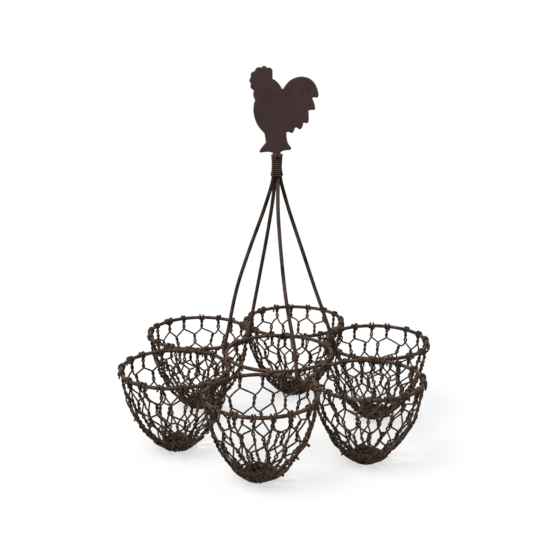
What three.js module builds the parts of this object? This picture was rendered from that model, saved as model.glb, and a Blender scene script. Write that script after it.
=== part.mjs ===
// A wire egg basket: six netting cups in a ring round a centre ring, carried by four
// stays that are bound together under a flat sheet rooster. Millimetres, +Z up.
// The origin is on the table, under the middle of the centre ring.
import * as THREE from "three";

// Wire sizes
const FRAME_WIRE = 2.6;
const BINDING_WIRE = 0.68;
const GAP = 0.3;

// Cups and centre ring
const CUPS = 6;
const CUP_RIM_RADIUS = 36.7;
const CUP_DEPTH = 58.6;
const RIM_SPACING_GAP = 0.35;
const RING_RISE = 1.5;

// Netting
const NET_COLUMNS = 17;
const NET_ROWS = 5;
const NET_INSET = 0.7;
const NET_SLANT_DROP = 4.3;
const NET_TWIST_WIDTH = 1.8;
const NET_NOTCH = 0.6;
const NET_THICKNESS = 1.3;
const WALL_ROUNDNESS = 0.66;
const WALL_OVERRUN = 1.5;
const WALL_STEPS = 400;
const NET_TURN_STEP = 3.4;

// Base pads
const PAD_HEIGHT = 5;
const PAD_FLAT_RADIUS = 6.5;
const PAD_LIP = 1.1;
const PAD_FLOOR = 2.6;
const NEST_HEIGHT = 6.9;
const NEST_RADIUS = 11;
const NEST_WALL = 2.4;

// Stays
const STAY_NECK_HEIGHT = 104;
const STAY_NECK_RADIUS = 8.8;
const STAY_MIDDLE_HEIGHT = 76;
const STAY_MIDDLE_RADIUS = 18.8;
const STAY_SHOULDER_HEIGHT = 46;
const STAY_SHOULDER_RADIUS = 29.4;
const STAY_KNEE_HEIGHT = 15;
const STAY_KNEE_INSET = 3.7;
const STAY_TAIL = 3;
const STAY_STEPS = 20;
const STAY_PLACES = [
  { name: "stay_left", foot: 180, shoulder: 179, neck: 179, spread: 1, side: -1, face: -1 },
  { name: "stay_back", foot: 132, shoulder: 127, neck: 123, spread: 1, side: -1, face: 1 },
  { name: "stay_front", foot: -64, shoulder: -70.5, neck: -77.5, spread: 1, side: 1, face: -1 },
  { name: "stay_right", foot: 13, shoulder: 24, neck: 25, spread: 0.9, side: 1, face: 1 },
];

// Binding over the tops of the stays
const BINDING_BOTTOM = 126;
const BINDING_TURNS = 13;
const BINDING_CORNER_STEPS = 5;
const BINDING_PITCH = 1.12;
const BINDING_FLARE = 0.45;
const STAY_OVERTOP = 0.4;
const HEAD_OFFSET = -1.6;
const HEAD_TURN = 16;

// Rooster plate
const ROOSTER_HEIGHT = 57.5;
const PLATE_THICKNESS = 1.6;
const TANG_WIDTH = 4.6;
const TANG_LENGTH = 13.5;
const PLATE_LIFT = 1;

// Weld beads
const BEAD_RADIUS = 0.9;
const BEAD_STRETCH = 2.2;
const STAY_BEAD_RADIUS = 0.7;

// Sizes that follow from the ones above
const WIRE_RADIUS = FRAME_WIRE / 2;
const TOUCHING = FRAME_WIRE + GAP;
const CUP_SPACING = 2 * CUP_RIM_RADIUS + FRAME_WIRE + RIM_SPACING_GAP;
const RING_REACH = Math.sqrt(TOUCHING ** 2 - RING_RISE ** 2);
const RING_RADIUS = CUP_SPACING - CUP_RIM_RADIUS - RING_REACH;
const RIM_HEIGHT = CUP_DEPTH;
const RING_HEIGHT = RIM_HEIGHT + RING_RISE;
const STAY_FOOT_RADIUS = RING_RADIUS + TOUCHING;
const BINDING_TOP = BINDING_BOTTOM + BINDING_TURNS * BINDING_PITCH + BINDING_WIRE;
const STAY_TOP = BINDING_TOP + STAY_OVERTOP;
const BUNDLE_SIDE = TOUCHING / 2;
const BUNDLE_FACE = PLATE_THICKNESS / 2 + GAP + WIRE_RADIUS;

const degrees = (angle) => (angle * Math.PI) / 180;

// Materials
function paintedWire(name) {
  return new THREE.MeshStandardMaterial({ name, color: 0x40332c, roughness: 0.62, metalness: 0.55 });
}

function paintedSheet(name) {
  return new THREE.MeshStandardMaterial({ name, color: 0x3e3230, roughness: 0.7, metalness: 0.4 });
}

function weldMetal(name) {
  return new THREE.MeshStandardMaterial({ name, color: 0x463a33, roughness: 0.75, metalness: 0.5 });
}

const frameWire = paintedWire("frame wire");
const netWire = paintedWire("net wire");
const bindWire = paintedWire("binding wire");
const sheet = paintedSheet("rooster sheet");
const weld = weldMetal("weld");

function piece(name, geometry, material) {
  const mesh = new THREE.Mesh(geometry, material);
  mesh.name = name;
  return mesh;
}

// A closed loop of round wire lying level
function wireLoop(radius) {
  return new THREE.TorusGeometry(radius, WIRE_RADIUS, 6, 32);
}

// A round wire laid through the points of a line; side is any direction off the wire's own
function wireThrough(line, radius, sides, side) {
  const points = [];
  line.forEach((point, i) => {
    const back = line[Math.max(i - 1, 0)];
    const next = line[Math.min(i + 1, line.length - 1)];
    const along = next.clone().sub(back).normalize();
    const across = new THREE.Vector3().crossVectors(side, along).normalize();
    const rise = new THREE.Vector3().crossVectors(along, across);
    for (let k = 0; k < sides; k += 1) {
      const turn = (k / sides) * 2 * Math.PI;
      points.push(
        point
          .clone()
          .addScaledVector(across, radius * Math.cos(turn))
          .addScaledVector(rise, radius * Math.sin(turn))
      );
    }
  });
  const faces = [];
  for (let i = 0; i + 1 < line.length; i += 1) {
    for (let k = 0; k < sides; k += 1) {
      const a = i * sides + k;
      const b = i * sides + ((k + 1) % sides);
      faces.push(a, b, b + sides, a, b + sides, a + sides);
    }
  }
  const last = (line.length - 1) * sides;
  for (let k = 1; k + 1 < sides; k += 1) {
    faces.push(0, k + 1, k);
    faces.push(last, last + k, last + k + 1);
  }
  const geometry = new THREE.BufferGeometry().setFromPoints(points);
  geometry.setIndex(faces);
  return geometry;
}

// The wall of a cup: its radius at a depth below the rim wire
function wallRadius(depth) {
  const share = depth / (CUP_DEPTH + WALL_OVERRUN);
  return (CUP_RIM_RADIUS - NET_INSET) * Math.pow(1 - share * share, WALL_ROUNDNESS);
}

// Depths down the wall at even steps along its slope
function depthsDownWall(from, to) {
  const depths = [from];
  const lengths = [0];
  for (let i = 1; i <= WALL_STEPS; i += 1) {
    const depth = from + ((to - from) * i) / WALL_STEPS;
    const fall = depth - depths[i - 1];
    const draw = wallRadius(depth) - wallRadius(depths[i - 1]);
    depths.push(depth);
    lengths.push(lengths[i - 1] + Math.hypot(fall, draw));
  }
  const total = lengths[WALL_STEPS];
  return {
    total,
    at(length) {
      const wanted = Math.min(Math.max(length, 0), total);
      let i = 1;
      while (i < WALL_STEPS && lengths[i] < wanted) i += 1;
      const share = (wanted - lengths[i - 1]) / (lengths[i] - lengths[i - 1]);
      return depths[i - 1] + share * (depths[i] - depths[i - 1]);
    },
  };
}

// A point on the wall of a cup, or out from it along its normal
function wallPoint(depth, angle, out) {
  const step = 0.01;
  const slope = (wallRadius(depth + step) - wallRadius(depth - step)) / (2 * step);
  const length = Math.hypot(1, slope);
  const radius = wallRadius(depth) + out / length;
  const height = -depth + (out * slope) / length;
  return new THREE.Vector3(radius * Math.cos(angle), radius * Math.sin(angle), height);
}

// The hexagonal netting of one cup: upright twists joined by slanting wires, as one open mesh
function netting() {
  const slope = depthsDownWall(WIRE_RADIUS + GAP, CUP_DEPTH - PAD_HEIGHT);
  const pitch = (slope.total - GAP + NET_SLANT_DROP) / NET_ROWS;
  const twist = pitch - NET_SLANT_DROP;
  const spread = (2 * Math.PI) / NET_COLUMNS;
  const points = [];
  const faces = [];

  const add = (length, angle, out) => {
    points.push(wallPoint(slope.at(length), angle, out));
    return points.length - 1;
  };

  const knot = (length, angle, tipLength) => {
    const half = NET_TWIST_WIDTH / 2 / wallRadius(slope.at(length));
    return {
      left: add(length, angle - half, 0),
      right: add(length, angle + half, 0),
      ridge: add(length, angle, NET_THICKNESS),
      tip: tipLength === null ? null : add(tipLength, angle, 0),
    };
  };

  const quad = (a, b, c, d) => faces.push(a, b, c, a, c, d);
  const rows = [];
  for (let row = 0; row < NET_ROWS; row += 1) {
    const start = row * pitch;
    const end = start + twist;
    const first = row === 0;
    const last = row === NET_ROWS - 1;
    const knots = [];
    for (let column = 0; column < NET_COLUMNS; column += 1) {
      const angle = (column + (row % 2) / 2) * spread;
      const upper = knot(start, angle, first ? null : start - NET_NOTCH);
      const lower = knot(end, angle, last ? null : end + NET_NOTCH);
      quad(upper.left, lower.left, lower.ridge, upper.ridge);
      quad(upper.ridge, lower.ridge, lower.right, upper.right);
      quad(upper.left, upper.right, lower.right, lower.left);
      if (first) faces.push(upper.left, upper.ridge, upper.right);
      else faces.push(upper.tip, upper.right, upper.left);
      if (last) faces.push(lower.left, lower.right, lower.ridge);
      else faces.push(lower.left, lower.right, lower.tip);
      knots.push({ upper, lower });
    }
    rows.push(knots);
  }

  for (let row = 0; row + 1 < NET_ROWS; row += 1) {
    for (let column = 0; column < NET_COLUMNS; column += 1) {
      const from = rows[row][column].lower;
      const shift = row % 2;
      const right = rows[row + 1][(column + shift) % NET_COLUMNS].upper;
      const left = rows[row + 1][(column + shift + NET_COLUMNS - 1) % NET_COLUMNS].upper;
      quad(from.ridge, right.ridge, right.tip, from.right);
      quad(from.ridge, from.tip, right.left, right.ridge);
      quad(from.right, right.tip, right.left, from.tip);
      quad(from.ridge, from.left, left.tip, left.ridge);
      quad(from.ridge, left.ridge, left.right, from.tip);
      quad(from.left, from.tip, left.right, left.tip);
    }
  }
  const geometry = new THREE.BufferGeometry().setFromPoints(points);
  geometry.setIndex(faces);
  return geometry;
}

// The pad of gathered wire ends at the foot of a cup: flat below, a nest with a raised lip above
function basePad() {
  const outer = wallPoint(CUP_DEPTH - PAD_HEIGHT, 0, PAD_LIP);
  const brim = wallPoint(CUP_DEPTH - PAD_HEIGHT, 0, -PAD_LIP / 2);
  const floor = -CUP_DEPTH + PAD_FLOOR;
  const crest = -CUP_DEPTH + NEST_HEIGHT;
  const hollow = NEST_RADIUS - NEST_WALL;
  const profile = [
    new THREE.Vector2(0, -CUP_DEPTH),
    new THREE.Vector2(PAD_FLAT_RADIUS, -CUP_DEPTH),
    new THREE.Vector2((PAD_FLAT_RADIUS + 2 * outer.x) / 3, (outer.z - CUP_DEPTH) / 2),
    new THREE.Vector2(outer.x, outer.z),
    new THREE.Vector2(brim.x, brim.z),
    new THREE.Vector2(NEST_RADIUS, crest),
    new THREE.Vector2(hollow, crest),
    new THREE.Vector2(hollow / 2, floor + (crest - floor) / 4),
    new THREE.Vector2(0, floor),
  ];
  const pad = new THREE.LatheGeometry(profile, 16);
  pad.rotateX(Math.PI / 2);
  return pad;
}

// A bead of weld lying in the groove between two touching wires
function bead(radius, stretch) {
  const ball = new THREE.SphereGeometry(radius, 6, 4);
  ball.scale(1, stretch, 1);
  return ball;
}

function cupCentre(index) {
  const angle = degrees(-90 + (360 / CUPS) * index);
  return { angle, x: CUP_SPACING * Math.cos(angle), y: CUP_SPACING * Math.sin(angle) };
}

function cup(index) {
  const place = cupCentre(index);
  const group = new THREE.Group();
  group.position.set(place.x, place.y, RIM_HEIGHT);
  group.rotation.z = place.angle + degrees(NET_TURN_STEP * index);
  const number = index + 1;
  group.add(piece(`cup_rim_${number}`, wireLoop(CUP_RIM_RADIUS), frameWire));
  group.add(piece(`cup_net_${number}`, netting(), netWire));
  group.add(piece(`cup_base_${number}`, basePad(), netWire));
  return group;
}

// Bead where two neighbouring cup rims touch
function rimWeld(index) {
  const here = cupCentre(index);
  const next = cupCentre(index + 1);
  const half = (FRAME_WIRE + RIM_SPACING_GAP) / 2;
  const rise = Math.sqrt((WIRE_RADIUS + GAP + BEAD_RADIUS) ** 2 - half ** 2);
  const mesh = piece(`rim_weld_${index + 1}`, bead(BEAD_RADIUS, BEAD_STRETCH), weld);
  mesh.position.set((here.x + next.x) / 2, (here.y + next.y) / 2, RIM_HEIGHT + rise);
  mesh.rotation.z = Math.atan2(next.y - here.y, next.x - here.x);
  return mesh;
}

// Bead where a cup rim touches the centre ring
function ringWeld(index) {
  const place = cupCentre(index);
  const off = Math.sqrt((WIRE_RADIUS + GAP + BEAD_RADIUS) ** 2 - (TOUCHING / 2) ** 2);
  const radius = RING_RADIUS + RING_REACH / 2 + (off * RING_RISE) / TOUCHING;
  const height = RIM_HEIGHT + RING_RISE / 2 + (off * RING_REACH) / TOUCHING;
  const mesh = piece(`ring_weld_${index + 1}`, bead(BEAD_RADIUS, BEAD_STRETCH), weld);
  mesh.position.set(radius * Math.cos(place.angle), radius * Math.sin(place.angle), height);
  mesh.rotation.z = place.angle;
  return mesh;
}

// Turns a place in the bundle of stays into the part's frame
function inBundle(x, y, z) {
  const turned = new THREE.Vector3(x, y, z);
  turned.applyAxisAngle(new THREE.Vector3(0, 0, 1), degrees(HEAD_TURN));
  turned.x += HEAD_OFFSET;
  return turned;
}

// A stay runs straight through the binding, splays from under it and bows down to the ring
function stay(place) {
  const x = BUNDLE_SIDE * place.side;
  const y = BUNDLE_FACE * place.face;
  const middle = (place.neck + place.shoulder) / 2;
  const at = (radius, angle, height) => {
    const turn = degrees(angle);
    const lean = (HEAD_OFFSET * Math.max(height, 0)) / BINDING_BOTTOM;
    return new THREE.Vector3(
      radius * Math.cos(turn) + lean,
      radius * Math.sin(turn),
      height + RING_HEIGHT
    );
  };
  const course = new THREE.CatmullRomCurve3(
    [
      inBundle(x, y, BINDING_BOTTOM + RING_HEIGHT),
      at(STAY_NECK_RADIUS * place.spread, place.neck, STAY_NECK_HEIGHT),
      at(STAY_MIDDLE_RADIUS * place.spread, middle, STAY_MIDDLE_HEIGHT),
      at(STAY_SHOULDER_RADIUS * place.spread, place.shoulder, STAY_SHOULDER_HEIGHT),
      at(STAY_FOOT_RADIUS - STAY_KNEE_INSET, place.foot, STAY_KNEE_HEIGHT),
      at(STAY_FOOT_RADIUS, place.foot, 0),
    ],
    false,
    "centripetal"
  );
  const line = [
    inBundle(x, y, STAY_TOP + RING_HEIGHT),
    ...course.getPoints(STAY_STEPS),
    at(STAY_FOOT_RADIUS + GAP, place.foot, -STAY_TAIL),
  ];
  const turn = degrees(place.foot);
  const tangent = new THREE.Vector3(-Math.sin(turn), Math.cos(turn), 0);
  return piece(place.name, wireThrough(line, WIRE_RADIUS, 6, tangent), frameWire);
}

// Bead in the corner where a stay's foot crosses the ring
function stayWeld(place) {
  const corner = Math.sqrt((WIRE_RADIUS + GAP + STAY_BEAD_RADIUS) ** 2 - (TOUCHING / 2) ** 2);
  const radius = RING_RADIUS + TOUCHING / 2;
  const turn = degrees(place.foot);
  const mesh = piece(`${place.name}_weld`, bead(STAY_BEAD_RADIUS, 1), weld);
  mesh.position.set(
    radius * Math.cos(turn) - corner * Math.sin(turn),
    radius * Math.sin(turn) + corner * Math.cos(turn),
    RING_HEIGHT - corner
  );
  mesh.rotation.z = turn;
  return mesh;
}

// The winding that binds the four stays and the rooster's tang
function bindingPath() {
  const stepsInTurn = 4 * (BINDING_CORNER_STEPS + 1);
  const corners = [
    [1, 1],
    [-1, 1],
    [-1, -1],
    [1, -1],
  ];
  const steps = BINDING_TURNS * stepsInTurn;
  const points = [];
  for (let step = 0; step <= steps; step += 1) {
    const inTurn = step % stepsInTurn;
    const corner = Math.floor(inTurn / (BINDING_CORNER_STEPS + 1));
    const inCorner = inTurn % (BINDING_CORNER_STEPS + 1);
    const angle = (corner + inCorner / BINDING_CORNER_STEPS) * (Math.PI / 2);
    const turn = step / stepsInTurn;
    const fromBottom = Math.max(0, 1 - turn);
    const fromTop = Math.max(0, turn - (BINDING_TURNS - 1)) * 0.5;
    const flare = BINDING_FLARE * (fromBottom + fromTop);
    const reach = WIRE_RADIUS + GAP + BINDING_WIRE / 2 + flare;
    const height = BINDING_WIRE / 2 + turn * BINDING_PITCH;
    points.push(
      new THREE.Vector3(
        corners[corner][0] * BUNDLE_SIDE + reach * Math.cos(angle),
        corners[corner][1] * BUNDLE_FACE + reach * Math.sin(angle),
        height
      )
    );
  }
  return { points, stepsInTurn };
}

// Least clear distance between the winding and its own next turns
function leastGap(points, stepsInTurn) {
  let least = Infinity;
  for (let i = 0; i < points.length; i += 1) {
    for (let j = i + stepsInTurn / 2; j < points.length; j += 1) {
      least = Math.min(least, points[i].distanceTo(points[j]));
    }
  }
  return least - BINDING_WIRE;
}

// The winding, with its two ends running straight for one diameter
function binding() {
  const { points, stepsInTurn } = bindingPath();
  console.log("binding: least gap to itself", leastGap(points, stepsInTurn).toFixed(3), "mm");
  const ends = points.length - 1;
  const before = points[0].clone().sub(points[1]).setLength(BINDING_WIRE).add(points[0]);
  const after = points[ends].clone().sub(points[ends - 1]).setLength(BINDING_WIRE).add(points[ends]);
  const up = new THREE.Vector3(0, 0, 1);
  return wireThrough([before, ...points, after], BINDING_WIRE / 2, 6, up);
}

// A pen for the rooster's outline, in hundredths of its height, up from the top of the tang
function roosterPen() {
  const outline = new THREE.Shape();
  const unit = ROOSTER_HEIGHT / 100;
  return {
    outline,
    line: (x, y) => outline.lineTo(x * unit, y * unit),
    curve: (bendX, bendY, x, y) => {
      outline.quadraticCurveTo(bendX * unit, bendY * unit, x * unit, y * unit);
    },
  };
}

function drawLeftFoot(pen) {
  pen.outline.moveTo(-TANG_WIDTH / 2, -TANG_LENGTH);
  pen.outline.lineTo(-TANG_WIDTH / 2, 0);
  pen.curve(-8.8, 2.4, -13.5, 1.5);
  pen.line(-19.6, 1);
  pen.curve(-21, 2.3, -19.3, 4.5);
  pen.curve(-16.3, 8.9, -12.8, 12.7);
  pen.curve(-13.5, 18.3, -14.5, 23.4);
}

function drawBreast(pen) {
  pen.curve(-22.8, 30.5, -25.8, 41.6);
  pen.curve(-28.8, 52, -25.1, 61.5);
  pen.curve(-28.6, 67.4, -26.3, 72.5);
  pen.curve(-31.7, 74.1, -29.8, 80.3);
}

function drawComb(pen) {
  pen.curve(-33.1, 83.3, -29.9, 87.4);
  pen.curve(-30.7, 93.3, -25.6, 94.1);
  pen.curve(-23.1, 100.2, -18, 98.2);
  pen.curve(-14.5, 102.3, -11, 97.7);
  pen.curve(-6.4, 99.3, -4.9, 94.7);
}

function drawBackAndTail(pen) {
  pen.line(-4.8, 85.5);
  pen.curve(2.2, 82.1, 5.7, 74.3);
  pen.line(7.2, 73.8);
  pen.curve(15, 87.6, 28.8, 87.5);
  pen.curve(45.4, 86.5, 48.4, 66.5);
  pen.curve(47.9, 63.1, 45.7, 63);
}

function drawFeathers(pen) {
  pen.curve(42.7, 64.1, 41, 62.7);
  pen.curve(44.5, 55.3, 44.6, 49.9);
  pen.line(42.9, 48.9);
  pen.curve(39.1, 49.7, 36.6, 48.2);
  pen.curve(37.7, 40.7, 36.8, 35.2);
  pen.curve(35.5, 33.1, 31, 34.8);
  pen.curve(29.7, 27.1, 26.6, 27.1);
  pen.curve(24.3, 27.9, 22.7, 29.5);
  pen.line(21, 28.8);
  pen.curve(19.3, 22.3, 16.7, 22.8);
  pen.curve(14.4, 24.5, 11.9, 24.3);
}

function drawRightFoot(pen) {
  pen.line(11.2, 23);
  pen.curve(11.4, 16.3, 12.8, 11.9);
  pen.line(16.9, 5.8);
  pen.curve(16.6, 3.3, 14.6, 3.3);
  pen.curve(8.8, 3.1, 5.8, 1.8);
  pen.outline.lineTo(TANG_WIDTH / 2, 0);
  pen.outline.lineTo(TANG_WIDTH / 2, -TANG_LENGTH);
  pen.outline.closePath();
}

function rooster() {
  const pen = roosterPen();
  drawLeftFoot(pen);
  drawBreast(pen);
  drawComb(pen);
  drawBackAndTail(pen);
  drawFeathers(pen);
  drawRightFoot(pen);
  const plate = new THREE.ExtrudeGeometry(pen.outline, {
    depth: PLATE_THICKNESS,
    bevelEnabled: false,
    curveSegments: 3,
  });
  plate.translate(0, 0, -PLATE_THICKNESS / 2);
  plate.rotateX(Math.PI / 2);
  return plate;
}

// The bound neck with the rooster standing in it
function head() {
  const group = new THREE.Group();
  group.position.set(HEAD_OFFSET, 0, RING_HEIGHT);
  group.rotation.z = degrees(HEAD_TURN);
  const winding = piece("neck_binding", binding(), bindWire);
  winding.position.z = BINDING_BOTTOM;
  const bird = piece("rooster_plate", rooster(), sheet);
  bird.position.z = BINDING_TOP + PLATE_LIFT;
  group.add(winding, bird);
  return group;
}

function eggBasket() {
  const basket = new THREE.Group();
  const ring = piece("centre_ring", wireLoop(RING_RADIUS), frameWire);
  ring.position.z = RING_HEIGHT;
  basket.add(ring, head());
  for (let index = 0; index < CUPS; index += 1) {
    basket.add(cup(index), rimWeld(index), ringWeld(index));
  }
  for (const place of STAY_PLACES) {
    basket.add(stay(place), stayWeld(place));
  }
  return basket;
}

export default eggBasket();
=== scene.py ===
"""Looks of the wire egg basket, made round its packed solids.

Lengths are in metres and the origin is on the table, under the middle of the centre ring.
"""
import math
import random
from bisect import bisect
from collections import namedtuple
from contextlib import contextmanager

import bmesh
import bpy
from mathutils import Matrix, Vector, noise


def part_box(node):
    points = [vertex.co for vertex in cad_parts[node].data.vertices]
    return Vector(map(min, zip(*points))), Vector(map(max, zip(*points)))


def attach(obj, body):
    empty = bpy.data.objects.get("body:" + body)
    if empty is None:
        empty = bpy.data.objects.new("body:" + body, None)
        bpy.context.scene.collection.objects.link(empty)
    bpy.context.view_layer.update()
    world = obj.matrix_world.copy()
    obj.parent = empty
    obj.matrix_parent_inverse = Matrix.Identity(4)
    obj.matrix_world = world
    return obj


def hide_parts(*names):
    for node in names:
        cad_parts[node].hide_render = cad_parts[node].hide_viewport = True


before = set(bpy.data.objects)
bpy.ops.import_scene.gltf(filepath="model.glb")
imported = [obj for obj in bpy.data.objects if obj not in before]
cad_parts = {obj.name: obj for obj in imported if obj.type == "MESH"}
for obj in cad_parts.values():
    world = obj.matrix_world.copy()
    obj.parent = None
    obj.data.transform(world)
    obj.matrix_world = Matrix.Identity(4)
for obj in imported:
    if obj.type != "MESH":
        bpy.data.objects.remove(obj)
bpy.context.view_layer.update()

bl_info = {
    "name": "Wire egg basket",
    "version": (1, 0, 0),
    "blender": (4, 5, 0),
    "location": "3D View > Sidebar > Egg basket",
    "description": "Makes the wires, netting, binding and rooster of a wire egg basket",
    "category": "Object",
}

MM = 0.001
CUPS = range(1, 7)
FRONT = -90  # Direction of the first cup in degrees; the others follow it, CUP_STEP apart
CUP_STEP = 60

# Directions of a stay round the basket in degrees, how widely it spreads against the others,
# how far its middle bows out in millimetres, and its corner of the bound neck
Stay = namedtuple("Stay", "name foot shoulder neck spread bow side face")
STAYS = (
    Stay("stay_left", 180, 179, 179, 1.0, 0.45, -1, -1),
    Stay("stay_back", 132, 127, 123, 1.0, 0.0, -1, 1),
    Stay("stay_front", -64, -70.5, -77.5, 1.0, 0.0, 1, -1),
    Stay("stay_right", 13, 24, 25, 0.9, 0.0, 1, 1),
)

# Loose loops with a place of their own: the cup, the share of the way down its wall, and
# the direction from the cup's middle in degrees
EARS = {1: ((0.6, 4), (0.72, 0), (0.93, -8)), 2: ((0.96, 5), (0.99, 12))}

# How far the foot of a cup is pushed aside of its rim, in millimetres
BOWL_LEANS = {1: (-0.9, 0.0), 2: (-0.6, 0.3), 6: (0.6, 0.2)}


def middle(node):
    """The centre of a CAD node's box."""
    low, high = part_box(node)
    return (low + high) / 2


RING_HEIGHT = middle("centre_ring").z
RING_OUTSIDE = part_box("centre_ring")[1].x


def length(name, description, default):
    """A length that a user may change, given in millimetres."""
    return bpy.props.FloatProperty(
        name=name, description=description, default=default * MM, precision=5,
        subtype="DISTANCE", unit="LENGTH",
    )


def degrees(name, description, default):
    """An angle that a user may change, given in degrees."""
    return bpy.props.FloatProperty(
        name=name, description=description, default=math.radians(default), precision=3,
        subtype="ANGLE", unit="ROTATION",
    )


def colour(name, description, default):
    """A paint colour that a user may change, in linear light."""
    return bpy.props.FloatVectorProperty(
        name=name, description=description, default=(*default, 1.0), size=4,
        min=0.0, max=1.0, subtype="COLOR",
    )


def share(name, description, default):
    """A plain number that a user may change."""
    return bpy.props.FloatProperty(name=name, description=description, default=default)


def count(name, description, default):
    """A whole number that a user may change."""
    return bpy.props.IntProperty(name=name, description=description, default=default, min=1)


class BasketWires(bpy.types.PropertyGroup):
    """Thickness of the wires"""

    frame_wire: length("Frame wire", "Wire of the rings and stays", 2.6)
    net_wire: length("Netting wire", "Wire of the netting, down to its gathered ends", 1.27)
    binding_wire: length("Binding wire", "Wire wound round the neck", 1.04)
    unevenness: length("Unevenness", "Depth of the dents under the paint", 0.22)


class BasketCups(bpy.types.PropertyGroup):
    """Shape of a cup"""

    rim_radius: length("Rim radius", "Middle of the rim wire", 36.7)
    depth: length("Depth", "From the rim wire down to the table", 58.6)
    inset: length("Inset", "How far the wall starts inside the rim wire", 0.7)
    overrun: length("Overrun", "How far below the table the wall's curve closes", 1.5)
    roundness: share("Roundness", "Power of the wall's curve", 0.66)
    pad_height: length("Pad height", "Height of the gathered pad's lip", 5)
    turn_step: degrees("Turn step", "Turn of each cup's netting against the last", 3.4)


class BasketNetting(bpy.types.PropertyGroup):
    """Layout of the hexagonal netting"""

    columns: count("Columns", "Twists round the rim", 17)
    rows: count("Rows", "Rows of twists from rim to pad", 5)
    twist: length("Twist", "Length of a twist", 7.5)
    slant_drop: length("Slant drop", "Least fall of a slanting wire", 4.3)
    slant_wire: length("Slant wire", "Real length of a slanting wire", 7.9)
    half_turns: count("Half turns", "Half turns in each twist", 2)
    tightness: share("Tightness", "Twist's half width, in wires", 0.52)
    eye: length("Eye", "Opening left in a loose twist", 0.5)
    wander: share("Wander", "How far a column strays, in columns", 0.29)
    pleat: length("Pleat", "Depth of the folds near the pad", 1.1)
    ears: count("Ears", "Loose loops that stand out of a cup", 4)
    loops: count("Loops", "Slack strands that bow up from the nest", 7)
    cut_end: length("Cut end", "Length of the ends that hang from the rim", 3.5)


class BasketPads(bpy.types.PropertyGroup):
    """Gathered wire at the foot of each cup"""

    flat_radius: length("Flat radius", "Radius of the flat underside", 7.5)
    outer_radius: length("Outer radius", "Radius of the nest", 11.3)
    lip_height: length("Lip height", "Height of the nest's lip", 7.3)
    hollow: length("Hollow", "Height of the nest's hollow middle", 3.2)
    strands: count("Strands", "Loose strands in each nest", 48)
    strand_wire: length("Strand wire", "Thickness of a loose strand", 1.25)


class BasketStays(bpy.types.PropertyGroup):
    """Course of the four stays"""

    neck_height: length("Neck height", "Above the centre ring", 104)
    neck_radius: length("Neck radius", "From the basket's leaning axis", 8.8)
    middle_height: length("Middle height", "Above the centre ring", 76)
    middle_radius: length("Middle radius", "From the basket's leaning axis", 18.8)
    shoulder_height: length("Shoulder height", "Above the centre ring", 46)
    shoulder_radius: length("Shoulder radius", "From the basket's leaning axis", 29.4)
    knee_height: length("Knee height", "Above the centre ring", 15)
    knee_inset: length("Knee inset", "How far the knee is inside the foot", 3.7)
    foot_radius: length("Foot radius", "Middle of the wire at the centre ring", 39.9)
    tail: length("Tail", "Length of wire below the centre ring", 3)


class BasketNeck(bpy.types.PropertyGroup):
    """Winding round the tops of the stays"""

    bottom: length("Bottom", "Lowest turn above the centre ring", 126)
    turns: count("Turns", "Turns of binding wire", 11)
    pitch: length("Pitch", "Mean rise of each turn", 1.324)
    flare: length("Flare", "Looseness of the lowest turns", 0.62)
    pinch: length("Pinch", "How far the middle turns draw in", 0.3)
    flared: count("Flared turns", "Number of loose turns at the bottom", 3)
    loose_pitch: length("Loose pitch", "Rise of each loose turn", 1.5)
    bundle_side: length("Bundle side", "Half the distance between stays on a face", 1.35)
    bundle_face: length("Bundle face", "From the rooster's sheet to a stay", 2.15)
    overtop: length("Overtop", "How far the stays stand out of the binding", 1.3)
    offset: length("Offset", "Sideways lean of the neck", -1.6)
    turn: degrees("Turn", "Turn of the neck and rooster", 16)
    twist: degrees("Twist", "Turn of the stays within the binding", -25)


class BasketRooster(bpy.types.PropertyGroup):
    """Flat sheet rooster"""

    height: length("Height", "From the tang's top to the comb", 58)
    thickness: length("Thickness", "Thickness of the sheet", 1.6)
    rounding: length("Rounding", "Wear of the sheet's edges", 0.44)
    tang_width: length("Tang width", "Width of the strip in the binding", 4.6)
    tang_length: length("Tang length", "Length of the strip in the binding", 13.5)


class BasketPaint(bpy.types.PropertyGroup):
    """Colours of the paint"""

    wire_dark: colour("Wire, dark", "Paint in the hollows", (0.02, 0.0115, 0.008))
    wire_brown: colour("Wire, brown", "Main colour of the wires", (0.066, 0.0405, 0.026))
    wire_worn: colour("Wire, worn", "Rubbed places on the wires", (0.19, 0.128, 0.082))
    stay_brown: colour("Stay, brown", "Stays and binding", (0.087, 0.0535, 0.0435))
    # Near-black painted shade for the nests' cores, also used for the dark patches on the nest
    # strands
    nest_dark: colour("Nest, dark", "Shadowed middle of the nests", (0.007, 0.0045, 0.003))
    sheet_dark: colour("Sheet, dark", "Mottling on the rooster", (0.066, 0.04, 0.0365))
    sheet_brown: colour("Sheet, brown", "Main colour of the rooster", (0.076, 0.0455, 0.0425))
    # Colour of the rooster's rubbed specks, and also the painted highlight along its rounded
    # edges
    sheet_worn_and_highlight: colour("Sheet, edge", "Worn edge of the rooster", (0.24, 0.18, 0.155))


class BasketStage(bpy.types.PropertyGroup):
    """Floor, lights and camera"""

    floor: colour("Floor", "Pale floor", (0.3, 0.3, 0.3))
    glow: share("Glow", "Extra light that the camera sees in the floor", 0.65)
    ambient: share("Ambient", "Strength of the light from all round", 0.06)
    camera_turn: degrees("Camera turn", "To the right of the front", 8.854)
    camera_fall: degrees("Camera fall", "How far the camera looks down", 15.977)
    camera_view: degrees("Camera view", "Width of the view", 27.78)


SETTINGS = {
    "basket_wires": BasketWires,
    "basket_cups": BasketCups,
    "basket_netting": BasketNetting,
    "basket_pads": BasketPads,
    "basket_stays": BasketStays,
    "basket_neck": BasketNeck,
    "basket_rooster": BasketRooster,
    "basket_paint": BasketPaint,
    "basket_stage": BasketStage,
}


# Materials

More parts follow.
